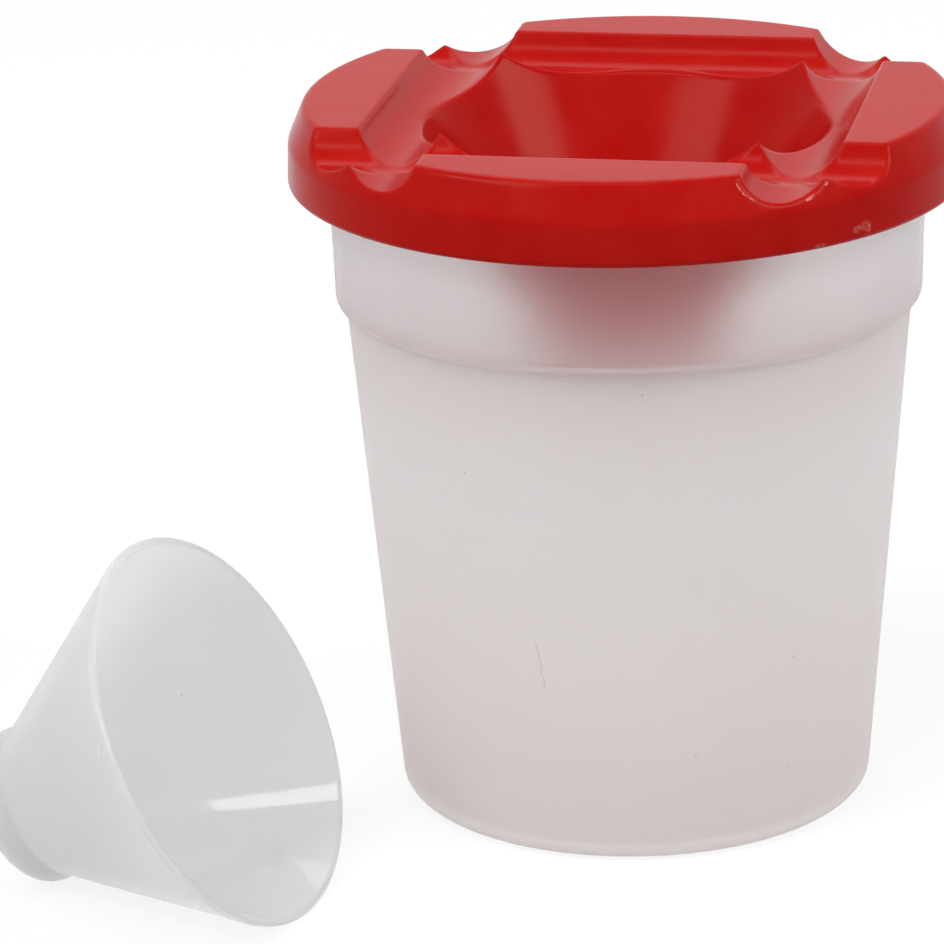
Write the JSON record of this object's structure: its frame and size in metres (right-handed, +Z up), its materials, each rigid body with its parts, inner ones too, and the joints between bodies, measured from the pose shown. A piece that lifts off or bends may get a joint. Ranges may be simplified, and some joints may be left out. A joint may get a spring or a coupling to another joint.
{
  "type": "paint cup with lid",
  "caption": "Tapered translucent paint cup with a red non-spill lid that has brush troughs round a funnel well, and a loose cone stopper.",
  "frame": {"origin": "centre of the cup's flat base, on the surface it stands on", "axes": "+Z up along the cup's axis; the lid's troughs run along X and Y; the stopper lies beside the cup towards -X and -Y"},
  "size_m": [0.1225, 0.1201, 0.0952],
  "materials": {
    "frosted_plastic": "translucent frosted polypropylene, satin",
    "red_plastic": "moulded red polypropylene, semi-gloss",
    "clear_plastic": "translucent natural polypropylene, semi-gloss"
  },
  "bodies": {
    "cup": {"cup": "frosted_plastic"},
    "lid": {"lid": "red_plastic"},
    "stopper": {"stopper": "clear_plastic"}
  },
  "joints": [
    {"name": "lid_lift", "type": "slide", "parent": "cup", "child": "lid", "axis": [0, 0, 1], "range_m": [0, 0.06]},
    {"name": "stopper_lift", "type": "slide", "parent": "cup", "child": "stopper", "axis": [0, 0, 1], "range_m": [0, 0.1]}
  ]
}
